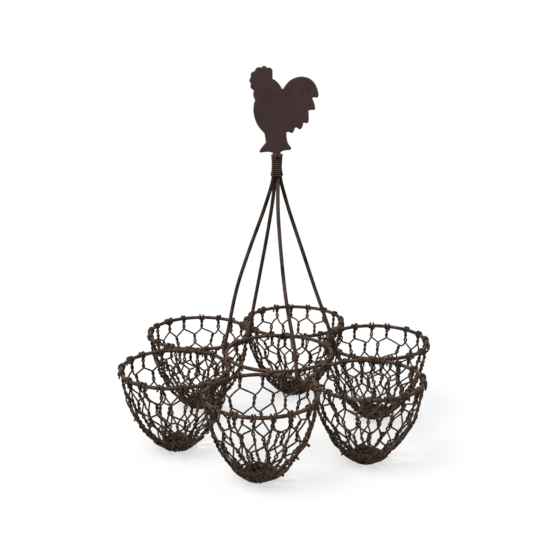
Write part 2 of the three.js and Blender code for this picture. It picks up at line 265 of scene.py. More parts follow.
BLACK, WHITE = (0, 0, 0, 1), (1, 1, 1, 1)
NOISE_LOW, NOISE_HIGH = 0.3, 0.7  # Nearly all of a noise's values lie between these
PATTERN_TURN = (0.5, 0.7, 0.3)  # Keeps the paint's pattern out of line with the pieces
GLOSS = 0.16
GRAIN_RELIEF = 0.12 * MM
SPECK_SCALE = 0.4  # Against the grain's

# Dark, main and worn colours of each finish, and what sets it off from plain paint
WIRE_COLOURS = ("wire_dark", "wire_brown", "wire_worn")
STAY_COLOURS = ("wire_dark", "stay_brown", "wire_worn")
NEST_COLOURS = ("nest_dark", "wire_brown", "wire_worn")
# Painted shade: the nests' cores are near-black all over
NEST_SHADE_COLOURS = ("nest_dark", "nest_dark", "wire_dark")
SHEET_COLOURS = ("sheet_dark", "sheet_brown", "sheet_worn_and_highlight")
FINISHES = {
    "frame wire paint": (WIRE_COLOURS, {"patch": 160}),
    "netting wire paint": (
        WIRE_COLOURS, {"patch": 260, "grain": 2200, "hollows": (0.34, 0.51)},
    ),
    # Near-black paint of the nests' cores: painted shade between the strands
    "pad middle paint": (NEST_SHADE_COLOURS, {"patch": 300, "grain": 1400, "bump": 0.9}),
    "nest wire paint": (NEST_COLOURS, {"patch": 520, "grain": 2200}),
    "stay wire paint": (STAY_COLOURS, {"patch": 90, "rub": (0.58, 0.76)}),
    "binding wire paint": (STAY_COLOURS, {"patch": 200, "bump": 0.3, "rub": (0.6, 0.8)}),
    "weld under paint": (WIRE_COLOURS, {"patch": 420, "grain": 1400, "bump": 0.9}),
    # The rooster's rounded edges get a painted highlight
    "rooster sheet paint": (
        SHEET_COLOURS, {"patch": 90, "grain": 1300, "rub": (0.6, 0.8), "edges": "edge_wear"},
    ),
}


def feed(tree, socket, source):
    """Links another node's output to a socket, or sets the socket to a plain value."""
    if isinstance(source, bpy.types.NodeSocket):
        tree.links.new(source, socket)
    else:
        socket.default_value = source


def node_at(tree, kind, **inputs):
    """A new shader node with its inputs fed."""
    node = tree.nodes.new(kind)
    for name, source in inputs.items():
        feed(tree, node.inputs[name.replace("_", " ")], source)
    return node


def speckle(tree, place, scale, detail, roughness=0.55):
    """Noise over the object's own coordinates."""
    texture = node_at(
        tree, "ShaderNodeTexNoise",
        Vector=place, Scale=scale, Detail=detail, Roughness=roughness,
    )
    return texture.outputs["Fac"]


def ramp(tree, value, *stops):
    """A colour ramp between two (position, colour) stops."""
    node = node_at(tree, "ShaderNodeValToRGB", Fac=value)
    for element, (position, shade) in zip(node.color_ramp.elements, stops):
        element.position = position
        element.color = shade
    return node.outputs["Color"]


def span(tree, value, low, high):
    """A noise value spread over low..high."""
    node = node_at(
        tree, "ShaderNodeMapRange",
        Value=value, From_Min=NOISE_LOW, From_Max=NOISE_HIGH, To_Min=low, To_Max=high,
    )
    return node.outputs["Result"]


def combined(tree, operation, first, second):
    """Two values taken together."""
    node = tree.nodes.new("ShaderNodeMath")
    node.operation = operation
    feed(tree, node.inputs[0], first)
    feed(tree, node.inputs[1], second)
    return node.outputs["Value"]


def blended(tree, factor, first, second):
    """Mix of two colours, through the colour sockets of the node."""
    node = node_at(tree, "ShaderNodeMix", Factor=factor)
    node.data_type = "RGBA"
    feed(tree, node.inputs[6], first)
    feed(tree, node.inputs[7], second)
    return node.outputs[2]


def painted(
    name, dark, brown, worn, patch=140, grain=1500, bump=0.5, rub=(0.54, 0.68),
    hollows=(0.36, 0.56), edges=None,
):
    """Old brown paint on metal: patches of two browns, rubbed specks, and a fine grain.

    patch and grain are noise scales and bump is the grain's strength. hollows and rub are
    the noise values between which dark turns to brown and brown to worn. edges names the
    attribute that marks the rounded edges, which get a painted highlight in the worn colour.
    """
    material = bpy.data.materials.new(name)
    material.use_nodes = True
    tree = material.node_tree
    own = tree.nodes.new("ShaderNodeTexCoord").outputs["Object"]
    turned = node_at(tree, "ShaderNodeMapping", Vector=own, Rotation=PATTERN_TURN)
    place = turned.outputs["Vector"]
    patches = speckle(tree, place, scale=patch, detail=4)
    specks = speckle(tree, place, scale=grain * SPECK_SCALE, detail=6, roughness=0.7)
    fine = speckle(tree, place, scale=grain, detail=3)
    base = ramp(tree, patches, (hollows[0], dark), (hollows[1], brown))
    rubbed = ramp(tree, specks, (rub[0], BLACK), (rub[1], WHITE))
    coat = blended(tree, rubbed, base, worn)
    # Painted highlight along the rounded edges, broken up by the specks
    if edges:
        mark = tree.nodes.new("ShaderNodeAttribute")
        mark.attribute_name = edges
        broken = span(tree, specks, low=-0.3, high=1.4)
        highlight_mask = combined(tree, "MULTIPLY", mark.outputs["Fac"], broken)
        coat = blended(tree, highlight_mask, coat, worn)
    relief = node_at(
        tree, "ShaderNodeBump", Strength=bump, Distance=GRAIN_RELIEF, Height=fine
    )
    inputs = tree.nodes["Principled BSDF"].inputs
    feed(tree, inputs["Base Color"], coat)
    feed(tree, inputs["Roughness"], span(tree, patches, low=0.82, high=0.6))
    feed(tree, inputs["Specular IOR Level"], GLOSS)
    feed(tree, inputs["Normal"], relief.outputs["Normal"])
    return material


def finish(name):
    """The material of a finish, made once."""
    if name in bpy.data.materials:
        return bpy.data.materials[name]
    paint = bpy.context.scene.basket_paint
    colours, settings = FINISHES[name]
    return painted(name, *(tuple(getattr(paint, key)) for key in colours), **settings)


# Making and finishing pieces

SMOOTH_ANGLE = math.radians(50)  # Edges that bend less are shaded smooth
WIRE_MERGE = 0.0005 * MM  # Points closer than this are made one
LUMP_SIZE = 1.4 * MM  # From one lump of paint to the next
DENT_SIZE = 5 * MM  # From one dent of a rod to the next


def only(piece):
    """Selects one piece and nothing else."""
    bpy.ops.object.select_all(action="DESELECT")
    piece.select_set(True)
    bpy.context.view_layer.objects.active = piece


@contextmanager
def editing(piece, action="SELECT"):
    """Edit mode on one piece, with everything in it selected or deselected."""
    only(piece)
    bpy.ops.object.mode_set(mode="EDIT")
    bpy.ops.mesh.select_all(action=action)
    yield
    bpy.ops.object.mode_set(mode="OBJECT")


def added(name, operator, **settings):
    """The object that an operator adds, under its own name."""
    bpy.ops.object.select_all(action="DESELECT")
    operator(**settings)
    piece = bpy.context.view_layer.objects.active
    piece.name = name
    return piece


def meshed(name, curve):
    """A piece with the shape of a curve, as a mesh."""
    piece = bpy.data.objects.new(name, curve)
    bpy.context.collection.objects.link(piece)
    only(piece)
    bpy.ops.object.convert(target="MESH")
    return bpy.context.view_layer.objects.active


def settle(piece):
    """Puts the piece's place, turn and size into its mesh."""
    only(piece)
    bpy.ops.object.transform_apply(location=True, rotation=True, scale=True)
    bpy.ops.object.shade_smooth_by_angle(angle=SMOOTH_ANGLE)


def roughen(piece, size, depth):
    """Dents a piece's surface with soft noise."""
    cloud = bpy.data.textures.new(f"{piece.name} dents", "CLOUDS")
    cloud.noise_scale = size
    dents = piece.modifiers.new("dents", "DISPLACE")
    dents.texture = cloud
    dents.texture_coords = "GLOBAL"
    dents.strength = depth
    dents.mid_level = 0.5
    only(piece)
    bpy.ops.object.modifier_apply(modifier=dents.name)
    bpy.data.textures.remove(cloud)


def finished(piece, node, material):
    """Gives the piece its paint and lets it stand for its CAD node."""
    piece.data.materials.append(finish(material))
    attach(piece, "root")
    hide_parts(node)


def wire_piece(name, paths, thickness, half_sides, lumps=0.0):
    """Round wire laid along one or more paths, as one mesh, with lumps of paint on it."""
    curve = bpy.data.curves.new(name, "CURVE")
    curve.dimensions = "3D"
    curve.bevel_depth = thickness / 2
    curve.bevel_resolution = half_sides - 2
    curve.use_fill_caps = True
    for path in paths:
        spline = curve.splines.new("POLY")
        spline.points.add(len(path) - 1)
        for point, place in zip(spline.points, path):
            point.co = (*place, 1.0)
            point.radius = 1 + lumps * noise.noise(place / LUMP_SIZE)
    piece = meshed(name, curve)
    with editing(piece):
        bpy.ops.mesh.remove_doubles(threshold=WIRE_MERGE)
    bpy.ops.object.shade_smooth_by_angle(angle=SMOOTH_ANGLE)
    return piece


def parts(steps):
    """Even parts of the way along a path, from 0 to 1."""
    return [i / steps for i in range(steps + 1)]


def eased(path, rounds=1):
    """A path with its corners softened."""
    for _ in range(rounds):
        inner = [
            path[i - 1] * 0.25 + path[i] * 0.5 + path[i + 1] * 0.25
            for i in range(1, len(path) - 1)
        ]
        path = [path[0], *inner, path[-1]]
    return path


def directions(angle):
    """Level unit vectors outwards at an angle and at right angles to that."""
    x, y = math.cos(angle), math.sin(angle)
    return Vector((x, y, 0)), Vector((-y, x, 0))


def cup_angle(number):
    """Direction of a cup from the middle of the basket."""
    return math.radians(FRONT + CUP_STEP * (number - 1))


# Cups

RIM_GAP = 0.3 * MM  # From the rim wire to the start of the slope
SLOPE_STEPS = 300
SLOPE_END = 0.999  # Share of the wall's curve that is used, since it closes at 1
FOOT_FALL = 0.6  # Fall per length along the wall's straight run past its end
TILT_STEP = 0.01 * MM  # Over which the wall's tilt is taken


class Cup:
    """A cup's sizes and dice, and its wall with lengths measured down the slope."""

    def __init__(self, number, seed):
        scene = bpy.context.scene
        self.number = number
        self.dice = random.Random(seed + number)
        self.sizes = scene.basket_cups
        self.netting = scene.basket_netting
        self.pads = scene.basket_pads
        self.rim_wire = scene.basket_wires.frame_wire
        self.wire = scene.basket_wires.net_wire
        self.centre = middle(f"cup_rim_{number}")
        self.lean = Vector((*BOWL_LEANS.get(number, (0, 0)), 0)) * MM
        self.turn = cup_angle(number) + self.sizes.turn_step * (number - 1)
        self.bottom = self.sizes.depth - self.sizes.pad_height
        top = self.rim_wire / 2 + RIM_GAP
        fall = self.bottom - top
        self.depths = [top + fall * i / SLOPE_STEPS for i in range(SLOPE_STEPS + 1)]
        self.lengths = [0.0]
        for above, below in zip(self.depths, self.depths[1:]):
            draw = self.radius(below) - self.radius(above)
            self.lengths.append(self.lengths[-1] + math.hypot(below - above, draw))
        self.total = self.lengths[-1]

    def radius(self, depth):
        """Radius of the wall at a depth below the rim wire."""
        part = min(depth / (self.sizes.depth + self.sizes.overrun), SLOPE_END)
        start = self.sizes.rim_radius - self.sizes.inset
        return start * (1 - part * part) ** self.sizes.roundness

    def depth_at(self, down):
        """Depth at a length down the wall, which runs straight on past its ends."""
        if down <= 0:
            return self.depths[0] + down
        if down >= self.total:
            return self.depths[-1] + (down - self.total) * FOOT_FALL
        i = bisect(self.lengths, down) - 1
        part = (down - self.lengths[i]) / (self.lengths[i + 1] - self.lengths[i])
        return self.depths[i] + part * (self.depths[i + 1] - self.depths[i])

    def point(self, down, angle, out=0.0, along=0.0):
        """A point of the wall, out from it along its normal and along round the cup."""
        depth = self.depth_at(down)
        draw = self.radius(depth + TILT_STEP) - self.radius(depth - TILT_STEP)
        tilt = draw / (2 * TILT_STEP)
        size = math.hypot(1, tilt)
        return self.place(
            self.radius(depth) + out / size, angle, -depth + out * tilt / size, along
        )

    def place(self, radius, angle, height, along=0.0):
        """A point at a radius and height from the middle of the cup's rim."""
        across, side = directions(angle + self.turn)
        sway = self.lean * min(1.0, -height / self.sizes.depth)
        return self.centre + sway + across * radius + side * along + Vector((0, 0, height))


# Nests, where the netting's ends are gathered at the foot of a cup

PAD_SEED = 40
UNDER_RISE, UNDER_POWER = 0.75, 1.5  # The underside's climb, in pad heights, and its curve
HOLLOW_EDGE, HOLLOW_SLOPE = 0.35, 0.45  # In outer radii, from the middle outwards
LIP_EDGE, LIP_WIDTH = 0.86, 0.14  # In outer radii
LIP_FALL = 2.2 * MM
OFF_UNDERSIDE, OFF_TOP = 0.55, 0.5  # From a strand's middle to the nest's faces, in wires
END_STEPS = 14
END_CLIMB = 0.4  # Share of the way in at which a gathered end starts to climb
END_SWING = (0.1, 1.1)  # How far it turns round the nest, in radians
END_CURL = 1.6  # It turns more and more on its way in
END_INNER = (0.3, 0.85)  # Where it stops, against where it starts
END_LEVELS = (0.0, 0.0, 0.0, 0.6, 1.0)  # Most ends stay on the underside
END_WAVE, END_WAVES = 0.4 * MM, 9
STRAND_KINDS = ("round", "round", "round", "across", "under")
STRAND_STEPS = 22
STRAND_WAVE, STRAND_WAVES = 0.55 * MM, 7
STRAND_WEAVE, STRAND_WEAVES = 0.15, 11  # Over and under the others, in the nest's height
STRAND_TOP = 1.05  # How high the strands may lie, in the nest's height
STRAND_PHASE = (0, 6)  # Radians, so that no two strands wave alike

# Ranges for the strands round, across and under a nest: where they start and end in outer
# radii, how far they swing round it in radians, and their levels
ROUND_START, ROUND_SHIFT, ROUND_INNER = (0.58, 1.0), (-0.25, 0.25), 0.5
ROUND_SWING, ROUND_LEVEL = (0.7, 2.4), (0.45, 1.0)
ACROSS_START, ACROSS_END = (0.6, 0.95), (0.3, 0.9)
ACROSS_SWING, ACROSS_LEVELS = (1.6, 2.9), (0.6, 1.0)
UNDER_START, UNDER_SWING = (0.6, 1.05), (0.4, 1.4)
UNDER_INNER = (0.2, 0.8)  # Where they stop, against where they start

# A nest's core: radii of its section below and above in outer radii, and its gaps in wires
# from the underside, from the top and between the two in the middle
CORE_SIDES = 30
CORE_TIP = 0.03
CORE_BELOW, CORE_ABOVE = (CORE_TIP, 0.3, 0.6, 0.75), (0.85, 0.75, 0.6, 0.4)
CORE_UP, CORE_DOWN, CORE_DIP = 1, 1.8, 0.6
CORE_DENT_SIZE, CORE_DENT = 1.3 * MM, 0.6 * MM


def nest_under(cup, radius):
    """Height of the nest's underside: flat, then rising to the end of the wall."""
    flat = cup.pads.flat_radius
    part = max(0.0, radius - flat) / (cup.radius(cup.bottom) - flat)
    return UNDER_RISE * cup.sizes.pad_height * part**UNDER_POWER


def nest_over(cup, radius):
    """Height of the nest's top: a hollow inside a rounded lip."""
    pads = cup.pads
    part = radius / pads.outer_radius
    rise = min(max((part - HOLLOW_EDGE) / HOLLOW_SLOPE, 0.0), 1.0)
    fall = max(0.0, part - LIP_EDGE) / LIP_WIDTH
    lip = pads.hollow + (pads.lip_height - pads.hollow) * rise * rise * (3 - 2 * rise)
    return lip - LIP_FALL * min(fall * fall, 2.0)


def nest_point(cup, wire, radius, angle, level):
    """A place in the nest, from its underside at level 0 to its top at level 1."""
    under = nest_under(cup, radius) + OFF_UNDERSIDE * wire
    over = max(nest_over(cup, radius) - OFF_TOP * wire, under)
    return cup.place(radius, angle, under + level * (over - under) - cup.sizes.depth)


def gathered_end(cup, knot):
    """A netting wire's last stretch, drawn under and into the nest."""
    dice = cup.dice
    swing = dice.uniform(*END_SWING) * dice.choice((-1, 1))
    start = cup.radius(min(cup.depth_at(knot.end), cup.bottom))
    end = dice.uniform(*END_INNER) * start
    level = dice.choice(END_LEVELS)
    path = []
    for part in parts(END_STEPS)[2:]:
        angle = knot.angle + knot.lean + swing * part**END_CURL
        wave = END_WAVE * math.sin(END_WAVES * part + knot.angle)
        radius = start + (end - start) * part + wave * part
        rise = level * max(0.0, part - END_CLIMB) / (1 - END_CLIMB)
        path.append(nest_point(cup, cup.wire, radius, angle, rise))
    return path


def nest_ends(cup, kind):
    """A strand's direction, the radii of its ends, its swing round the nest, and its level."""
    dice, outer = cup.dice, cup.pads.outer_radius
    angle = dice.uniform(0, 2 * math.pi)
    side = dice.choice((-1, 1))
    if kind == "round":
        start = dice.uniform(*ROUND_START) * outer
        end = start + dice.uniform(*ROUND_SHIFT) * outer
        end = min(max(end, ROUND_INNER * outer), outer)
        swing, level = dice.uniform(*ROUND_SWING), dice.uniform(*ROUND_LEVEL)
    elif kind == "across":
        start, end = dice.uniform(*ACROSS_START) * outer, dice.uniform(*ACROSS_END) * outer
        swing, level = dice.uniform(*ACROSS_SWING), dice.choice(ACROSS_LEVELS)
    else:
        start = dice.uniform(*UNDER_START) * outer
        end = start * dice.uniform(*UNDER_INNER)
        swing, level = dice.uniform(*UNDER_SWING), 0.0
    return angle, start, end, side * swing, level


def pad_paths(number):
    """Loose strands that lie round, across and under the nest."""
    cup = Cup(number, PAD_SEED)
    paths = []
    for strand in range(cup.pads.strands):
        kind = STRAND_KINDS[strand % len(STRAND_KINDS)]
        angle, start, end, swing, level = nest_ends(cup, kind)
        phase = cup.dice.uniform(*STRAND_PHASE)
        first = Vector((math.cos(angle), math.sin(angle))) * start
        last = Vector((math.cos(angle + swing), math.sin(angle + swing))) * end
        aside = (last - first).orthogonal().normalized()
        path = []
        for part in parts(STRAND_STEPS):
            wave = STRAND_WAVE * math.sin(STRAND_WAVES * part + phase)
            radius, turn = start + (end - start) * part + wave, angle + swing * part
            if kind == "across":
                spot = first.lerp(last, part) + aside * wave
                radius, turn = spot.length, math.atan2(spot.y, spot.x)
            weave = STRAND_WEAVE * math.sin(STRAND_WEAVES * part + 2 * phase)
            rise = min(STRAND_TOP, max(0.0, level + weave))
            path.append(nest_point(cup, cup.pads.strand_wire, radius, turn, rise))
        paths.append(eased(path))
    return paths


def pad_shade_core(number):
    """A near-black body in the middle of a pad, spun from its section: it fills the nest so
    that nothing shows through, and its near-black paint is painted shade between the strands.
    """
    cup = Cup(number, PAD_SEED)
    wire, outer = cup.pads.strand_wire, cup.pads.outer_radius
    section = [(r * outer, nest_under(cup, r * outer) + CORE_UP * wire) for r in CORE_BELOW]
    for r in CORE_ABOVE:
        section.append((r * outer, nest_over(cup, r * outer) - CORE_DOWN * wire))
    section.append((CORE_TIP * outer, section[0][1] + CORE_DIP * wire))
    name = f"pad_core_{number}"
    mesh = bpy.data.meshes.new(name)
    shell = bmesh.new()
    rings = []
    for k in range(CORE_SIDES):
        angle = 2 * math.pi * k / CORE_SIDES
        places = [cup.place(r, angle, h - cup.sizes.depth) for r, h in section]
        rings.append([shell.verts.new(place) for place in places])
    for ring, following in zip(rings, rings[1:] + rings[:1]):
        for i in range(len(section) - 1):
            shell.faces.new((ring[i], following[i], following[i + 1], ring[i + 1]))
    shell.faces.new([ring[0] for ring in reversed(rings)])
    shell.faces.new([ring[-1] for ring in rings])
    bmesh.ops.recalc_face_normals(shell, faces=shell.faces)
    shell.to_mesh(mesh)
    shell.free()
    core = bpy.data.objects.new(name, mesh)
    bpy.context.collection.objects.link(core)
    with editing(core):
        bpy.ops.mesh.subdivide(number_cuts=2)
    roughen(core, CORE_DENT_SIZE, CORE_DENT)
    return core


# Netting

NET_SEED = 700

# Layout of the twists, and how they stray from it
TOP_START = -0.6 * MM  # Where the top row of twists starts, down the wall
TWIST_SLACK = 0.15  # How far a twist's ends stray, in twists
COLUMN_DRIFT, DRIFT_FADE = 0.7, 0.12  # A column's own stray, and its loss with each row
CELL_STRAY, STRAY_GROWTH = 0.5, 0.25  # A cell's own stray, and its growth with each row
TOP_STRAY, STRAY_RETURN = 0.5, 0.2  # The rim holds the top rows in line
END_FOLLOW, END_STRAY = 0.5, 0.6  # A twist's end follows its start, and strays too
EYES = (0, 0.6, 1, 1.3)  # Openings in the twists, against the eye of a loose one
LEAN, LEAN_GROWTH = 0.02, 0.05  # A twist's slant in columns, and its growth with each row
FOLDS = (-0.9, 0.8)  # How far a twist stands in or out of the wall, in pleats

# Twisted pairs and slanting wires
TWIST_STEPS = 8  # In half a turn
TWIST_START, TWIST_EXTRA = 0.45, 0.1  # In half turns; a pair starts and ends by a crossing
EYE_REACH = 0.6 * math.pi  # How far round from its middle an eye is open
SLANT_STEPS = 9
BELLY_LIMIT = 2.2 * MM
BELLY_WAY = (-0.2 * math.pi, 0.75 * math.pi)  # Straight out of the wall is 0
BELLY_OUT = 0.45  # How far a belly stands out of the wall, against its sag along it

# Ends wrapped round the rim, and ties where the rim touches another wire
WRAP_GAP = 0.02 * MM  # Between a wire and what it is wrapped round
TOUCHING = 1.5  # A rim is wrapped together with a wire that is this near, in wires
TURN_PITCH = 1.05  # From one turn to the next, in wires
WRAP_TURNS = (1, 1, 1, 2)
WRAP_STEPS = 9  # In half a turn
WRAP_SWEEP = 1.35 * math.pi  # How far the last turn goes round before it runs down
WRAP_SHIFT, WRAP_LOOSE = (0.75, 1.15), (1.0, 1.4)  # Aside in wires, and above the rim
WRAP_CLOSING = 0.8  # The last turn's place beside the twist, against the first's
CUT_END = (1, 0.66, 0.33)  # Points of an end that hangs cut, from its tip up
CUT_GAP = 0.3 * MM  # From the middle of the rim down to where the end begins to hang
CUT_DROP = (0.15, 1.1)  # How far it hangs, against the usual length
CUT_ASIDE, CUT_INWARD = (-0.2, 1.0), (0.1, 0.7)  # In wires, and in reaches of the wrap
TIE_TURNS, TIE_SHIFT = (2, 3), (-1.5, 1.5)
TIE_STEPS = 16  # In a turn
TIE_START = 1.2 * math.pi
TIE_LOOSE, TIE_WAVES = 0.12, 2.3

# Loops that stand out of a twist, and slack strands that bow up from the nest
EAR_STEPS = 14
EAR_SWEEP = 1.7 * math.pi
EAR_PLACE = (0.4, 0.9)  # Share of the way down its twist
EAR_SIZE = (0.85, 1.25)  # Radius in millimetres
EAR_TILT = (-0.6, 0.6)
EAR_OUT = 1.1  # From its root to its middle, in its radii
EAR_ROOT, EAR_STAND = 0.6, 0.4  # Wires aside of the twist's middle, and out of it
LOOP_STEPS = 18
LOOP_ROOT = 1.5 * MM  # How deep in the nest a slack strand starts
LOOP_HALF, LOOP_RISE = (0.3, 0.9), (3, 10)  # Radians to each side, and millimetres up
LOOP_SKEW = (-0.3, 0.3)
LOOP_OUT = (0.65, 0.9)  # Out of the wall, in wires

# One twist of the netting: its place round the cup, its two ends down the wall, its slant,
# how far it stands out, how wide its eye is, and which way it turns
Knot = namedtuple("Knot", "angle start end lean bulge eye hand")


def knots_of(cup):
    """The twists of one cup, row by row, strayed as hand-shaped netting is."""
    netting, dice = cup.netting, cup.dice
    spread = 2 * math.pi / netting.columns
    starts = [TOP_START]
    while len(starts) < netting.rows:
        end = starts[-1] + netting.twist
        half = cup.radius(cup.depth_at(end)) * spread / 2
        drop = math.sqrt(max(netting.slant_wire**2 - half**2, netting.slant_drop**2))
        starts.append(end + drop)
    slack = netting.twist * TWIST_SLACK
    drift = [dice.uniform(-1, 1) for _ in range(netting.columns)]
    rows = []
    for row in range(netting.rows):
        knots = []
        for column in range(netting.columns):
            stray = COLUMN_DRIFT * drift[column] * (1 - DRIFT_FADE * row)
            stray += CELL_STRAY * dice.uniform(-1, 1) * (1 + STRAY_GROWTH * row)
            stray *= min(1.0, TOP_STRAY + STRAY_RETURN * row)
            angle = (column + (row % 2) / 2 + stray * netting.wander) * spread
            loose = 0.0 if row == 0 else dice.uniform(-1, 1)
            start = starts[row] + loose * slack
            late = END_FOLLOW * loose + END_STRAY * dice.uniform(-1, 1)
            end = starts[row] + netting.twist + late * slack
            eye = netting.eye * dice.choice(EYES)
            lean = dice.uniform(-1, 1) * (LEAN + LEAN_GROWTH * row) * spread
            fold = netting.pleat * max(0.0, row - 1) / (netting.rows - 2)
            bulge = fold * dice.uniform(*FOLDS)
            hand = dice.choice((-1, 1))
            knots.append(Knot(angle, start, end, lean, bulge, eye, hand))
        rows.append(knots)
    return rows


def twist_path(cup, knot, heading):
    """One wire of a twisted pair, from the top of the twist to its end."""
    netting = cup.netting
    opened = math.pi * (1 + (knot.hand > 0))
    path = []
    for part in parts(TWIST_STEPS * netting.half_turns):
        phase = (TWIST_START + part * (netting.half_turns + TWIST_EXTRA)) * math.pi
        near = max(0.0, 1 - abs(phase - opened) / EYE_REACH)
        reach = cup.wire * netting.tightness + knot.eye * near * near
        along = -heading * reach * math.cos(phase)
        out = heading * knot.hand * reach * math.sin(phase) + knot.bulge
        down = knot.start + part * (knot.end - knot.start)
        angle = knot.angle + knot.lean * (part - 0.5) * 2
        path.append(cup.point(down, angle, out, along))
    return path


def slant_path(cup, above, below, heading):
    """One slanting wire between two twists; spare length makes it belly."""
    gap = (below.angle - above.angle + math.pi) % (2 * math.pi) - math.pi
    start = cup.point(above.end, above.angle + above.lean, above.bulge)
    end = cup.point(below.start, above.angle + gap - below.lean, below.bulge)
    chord = (end - start).length
    spare = max(0.0, cup.netting.slant_wire - chord)
    belly = min(math.sqrt(3 / 8 * chord * spare), BELLY_LIMIT)  # As in a shallow arc
    way = cup.dice.uniform(*BELLY_WAY)
    side = heading * cup.wire * cup.netting.tightness
    path = []
    for part in parts(SLANT_STEPS)[1:-1]:
        swell = belly * math.sin(math.pi * part)
        down = above.end + part * (below.start - above.end) + swell * math.sin(way)
        angle = above.angle + above.lean + part * (gap - above.lean - below.lean)
        out = above.bulge + part * (below.bulge - above.bulge)
        out += side * (above.hand * (1 - part) ** 3 + below.hand * part**3)
        path.append(cup.point(down, angle, out + BELLY_OUT * swell * math.cos(way)))
    return path


def beside(cup, rim):
    """The nearest point of the ring or of a neighbouring rim to a point of this rim."""
    flat = Vector((rim.x, rim.y, 0)).normalized() * (RING_OUTSIDE - cup.rim_wire / 2)
    near = [Vector((flat.x, flat.y, RING_HEIGHT))]
    for number in CUPS:
        if number != cup.number:
            centre = middle(f"cup_rim_{number}")
            near.append(centre + (rim - centre).normalized() * cup.sizes.rim_radius)
    return min(near, key=lambda place: (place - rim).length)


def wrapped(cup, angle):
    """What a wire goes round: the rim, alone or with a wire beside it.

    Gives its middle and the vectors outwards, upwards and along it.
    """
    across, side = directions(angle + cup.turn)
    rim = cup.centre + across * cup.sizes.rim_radius
    reach = (cup.rim_wire + cup.wire) / 2 + WRAP_GAP
    other = beside(cup, rim)
    gap = (other - rim).length
    if gap > TOUCHING * cup.rim_wire:
        return rim, across * reach, Vector((0, 0, reach)), side
    outward = (other - rim).normalized()
    upward = outward.cross(-side).normalized()
    return (rim + other) / 2, outward * (reach + gap / 2), upward * reach, side


def rim_wrap(cup, knot, heading):
    """The end of a netting wire: it hangs cut, goes round the rim and down to its twist."""
    dice, wire, cut_end = cup.dice, cup.wire, cup.netting.cut_end
    centre, outward, upward, side = wrapped(cup, knot.angle)
    turns = dice.choice(WRAP_TURNS)
    shift = wire * dice.uniform(*WRAP_SHIFT)
    loose = dice.uniform(*WRAP_LOOSE)
    first = -heading * (shift + wire * TURN_PITCH * (turns - 1))
    last = -heading * shift * WRAP_CLOSING
    drop = cut_end * dice.uniform(*CUT_DROP)
    path = []
    for part in CUT_END:
        along = first - heading * wire * part * dice.uniform(*CUT_ASIDE)
        swing = 1 - part * dice.uniform(*CUT_INWARD) * drop / cut_end
        below = Vector((0, 0, -part * drop - CUT_GAP))
        path.append(centre + outward * swing + below + side * along)
    sweep = (turns - 1) * 2 * math.pi + WRAP_SWEEP
    for part in parts(round(WRAP_STEPS * sweep / math.pi)):
        around = part * sweep
        along = first + (last - first) * part
        ring = outward * math.cos(around) + upward * loose * math.sin(around)
        path.append(centre + ring + side * along)
    return path


def tie_path(cup, angle):
    """A few turns of netting wire that bind the rim to the wire that it touches."""
    centre, outward, upward, side = wrapped(cup, angle)
    turns = cup.dice.choice(TIE_TURNS)
    shift = cup.dice.uniform(*TIE_SHIFT) * cup.wire
    path = []
    for i in range(TIE_STEPS * turns + 1):
        turn = i / TIE_STEPS
        around = 2 * math.pi * turn + TIE_START
        along = shift + (turn - turns / 2) * cup.wire * TURN_PITCH
        loose = 1 + TIE_LOOSE * math.sin(TIE_WAVES * around)
        ring = outward * math.cos(around) + upward * math.sin(around)
        path.append(centre + ring * loose + side * along)
    return path


def ear_knot(cup, knots, ear):
    """The twist that a loose loop comes from."""
    places = EARS.get(cup.number, ())
    if ear >= len(places):
        return cup.dice.choice(knots)
    share_down, turn = places[ear]
    wanted = cup.point(cup.total * share_down, math.radians(turn) - cup.turn)
    return min(knots, key=lambda knot: (cup.point(knot.end, knot.angle) - wanted).length)


def ear_path(cup, knot):
    """A loose loop of wire that stands out of a twist."""
    dice = cup.dice
    down = knot.start + dice.uniform(*EAR_PLACE) * (knot.end - knot.start)
    size = dice.uniform(*EAR_SIZE) * MM
    tilt = dice.uniform(*EAR_TILT)
    root = cup.wire * EAR_ROOT
    path = [cup.point(down, knot.angle, knot.bulge, -root)]
    for part in parts(EAR_STEPS):
        turn = (part - 0.5) * EAR_SWEEP
        out = knot.bulge + cup.wire * EAR_STAND + size * (EAR_OUT + math.cos(turn))
        along = size * math.sin(turn)
        path.append(cup.point(down + along * tilt, knot.angle, out, along))
    path.append(cup.point(down, knot.angle, knot.bulge, root))
    return path


def loop_path(cup):
    """A slack strand that leaves the nest, bows up the wall and comes back."""
    dice = cup.dice
    middle_turn = dice.uniform(0, 2 * math.pi)
    half = dice.uniform(*LOOP_HALF)
    rise = dice.uniform(*LOOP_RISE) * MM
    skew = dice.uniform(*LOOP_SKEW)
    path = []
    for part in parts(LOOP_STEPS):
        way = 2 * part - 1
        lift = rise * (1 - way * way) + skew * rise * way
        out = cup.wire * dice.uniform(*LOOP_OUT)
        angle = middle_turn + half * way
        path.append(cup.point(cup.total + LOOP_ROOT - lift, angle, out))
    return path


def netting_paths(number):
    """Every wire of one cup's netting."""
    cup = Cup(number, NET_SEED)
    netting, rows = cup.netting, knots_of(cup)
    paths = []
    for column in range(netting.columns):
        for heading in (-1, 1):
            at = column
            path = rim_wrap(cup, rows[0][at], heading)
            for row, knots in enumerate(rows):
                path += twist_path(cup, knots[at], heading)
                if row + 1 < netting.rows:
                    to = (at + row % 2 - (heading < 0)) % netting.columns
                    path += slant_path(cup, knots[at], rows[row + 1][to], heading)
                    at = to
            path += gathered_end(cup, rows[-1][at])
            paths.append(eased(path, 3))
    low_knots = [knot for row in rows[2:] for knot in row]
    for ear in range(netting.ears):
        paths.append(ear_path(cup, ear_knot(cup, low_knots, ear)))
    paths += [eased(loop_path(cup)) for _ in range(netting.loops)]
    inward = cup_angle(number) + math.pi
    for contact in (inward, inward - math.radians(CUP_STEP)):
        paths.append(tie_path(cup, contact - cup.turn))
    return paths


# Stays and binding

